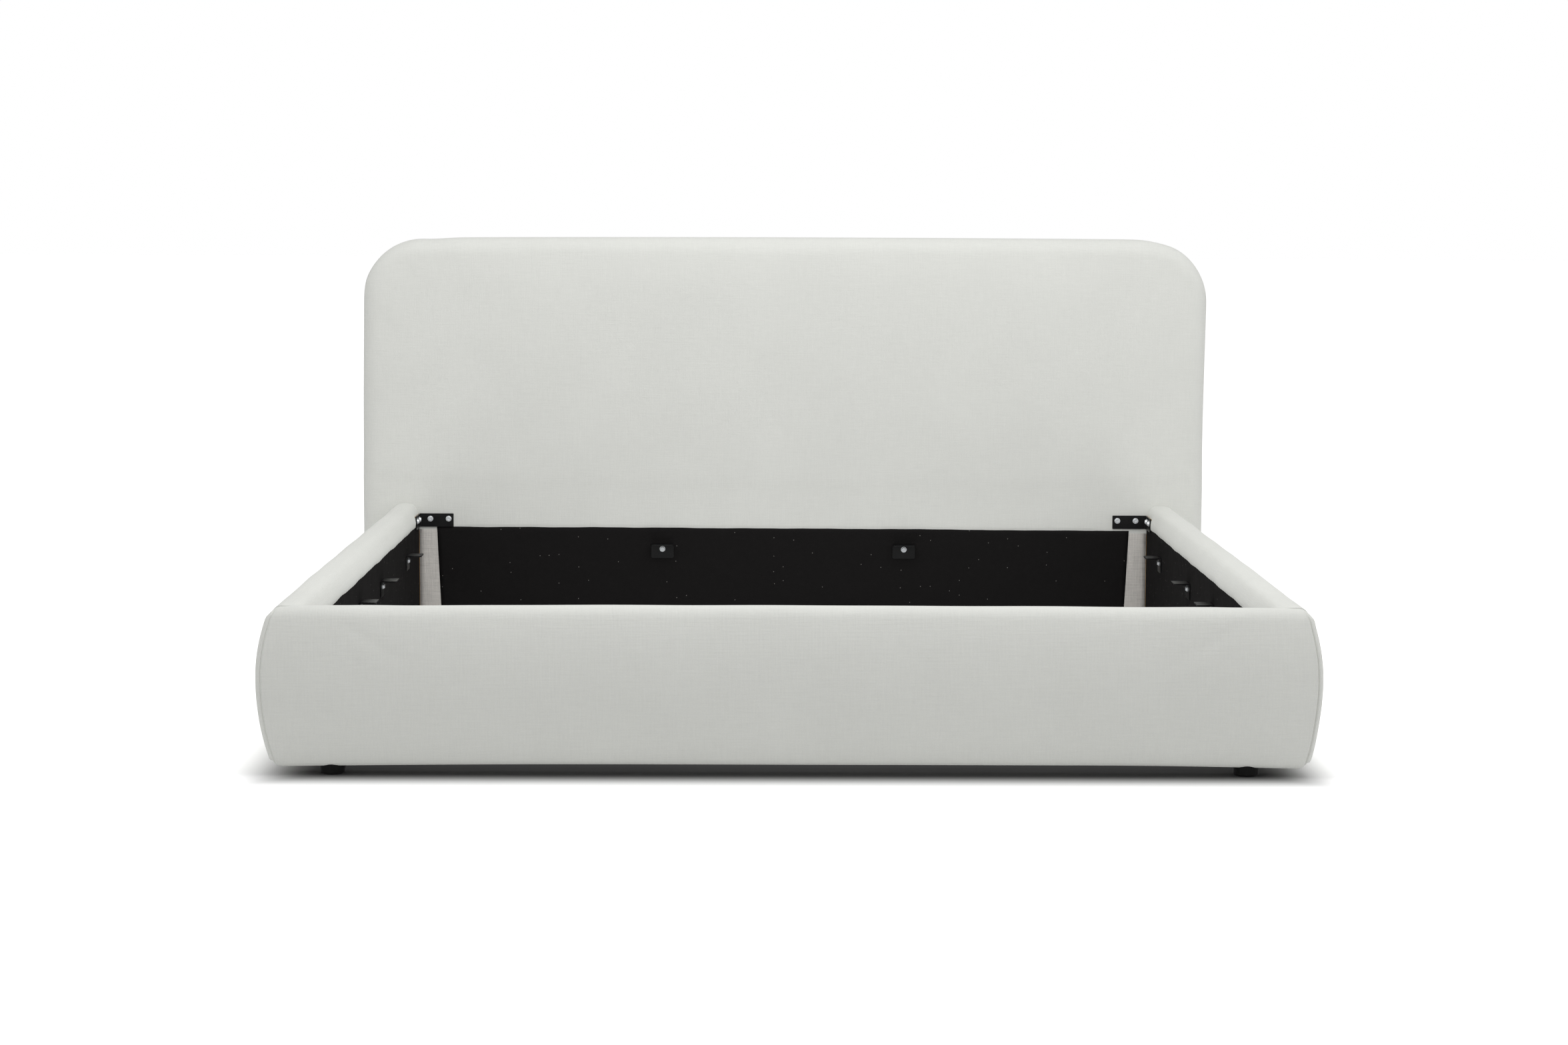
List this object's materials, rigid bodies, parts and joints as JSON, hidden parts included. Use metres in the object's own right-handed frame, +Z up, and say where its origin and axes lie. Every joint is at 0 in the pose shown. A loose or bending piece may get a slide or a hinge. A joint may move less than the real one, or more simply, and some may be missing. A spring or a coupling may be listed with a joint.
{
  "type": "upholstered bed",
  "caption": "King-size upholstered bed frame with a rounded padded headboard, bulging padded rails, black inner linings and steel slat brackets, without slats or mattress.",
  "frame": {"origin": "on the floor, below the middle of the whole bed's box", "axes": "+X to the right seen from the foot, +Y towards the headboard, +Z up"},
  "size_m": [2.268, 2.245, 1.063],
  "materials": {
    "cover_fabric": "pale warm grey plain weave with slubs, matt",
    "strip_fabric": "coarser plain weave, matt",
    "black_lining": "black non-woven cloth, matt",
    "foam": "upholstery foam",
    "plywood": "raw plywood",
    "pine": "sawn pine",
    "black_steel": "black powder coat, satin",
    "zinc_steel": "bright zinc plate",
    "insert_brass": "yellow zinc",
    "black_plastic": "moulded black plastic"
  },
  "bodies": {
    "root": {"foot_corner_bolts": "zinc_steel", "foot_corner_bracket_left": "black_steel", "foot_corner_bracket_right": "black_steel", "footboard_battens": "pine", "footboard_board": "plywood", "footboard_centre_bolts": "zinc_steel", "footboard_centre_brackets": "black_steel", "footboard_cover": "cover_fabric", "footboard_feet": "black_plastic", "footboard_foam": "foam", "footboard_foot_screws": "zinc_steel", "footboard_inserts": "insert_brass", "footboard_lining": "black_lining", "footboard_outer_skin": "plywood", "footboard_uprights": "pine", "head_corner_bolts": "zinc_steel", "head_corner_bracket_left": "black_steel", "head_corner_bracket_right": "black_steel", "headboard_back_cloth": "black_lining", "headboard_bolting_board": "plywood", "headboard_bottom_rail": "pine", "headboard_centre_bolts": "zinc_steel", "headboard_centre_brackets": "black_steel", "headboard_corner_formers": "pine", "headboard_cover": "cover_fabric", "headboard_feet": "black_plastic", "headboard_foam": "foam", "headboard_foot_screws": "zinc_steel", "headboard_front_panel": "plywood", "headboard_inserts": "insert_brass", "headboard_lining": "black_lining", "headboard_lower_stiles": "pine", "headboard_mid_rail": "pine", "headboard_posts": "pine", "headboard_side_strips": "strip_fabric", "headboard_top_rail": "pine", "headboard_upper_stiles": "pine", "rail_left_battens": "pine", "rail_left_board": "plywood", "rail_left_cover": "cover_fabric", "rail_left_foam": "foam", "rail_left_inserts": "insert_brass", "rail_left_lining": "black_lining", "rail_left_outer_skin": "plywood", "rail_left_slat_bolts": "zinc_steel", "rail_left_slat_brackets": "black_steel", "rail_left_uprights": "pine", "rail_right_battens": "pine", "rail_right_board": "plywood", "rail_right_cover": "cover_fabric", "rail_right_foam": "foam", "rail_right_inserts": "insert_brass", "rail_right_lining": "black_lining", "rail_right_outer_skin": "plywood", "rail_right_slat_bolts": "zinc_steel", "rail_right_slat_brackets": "black_steel", "rail_right_uprights": "pine"}
  },
  "joints": []
}
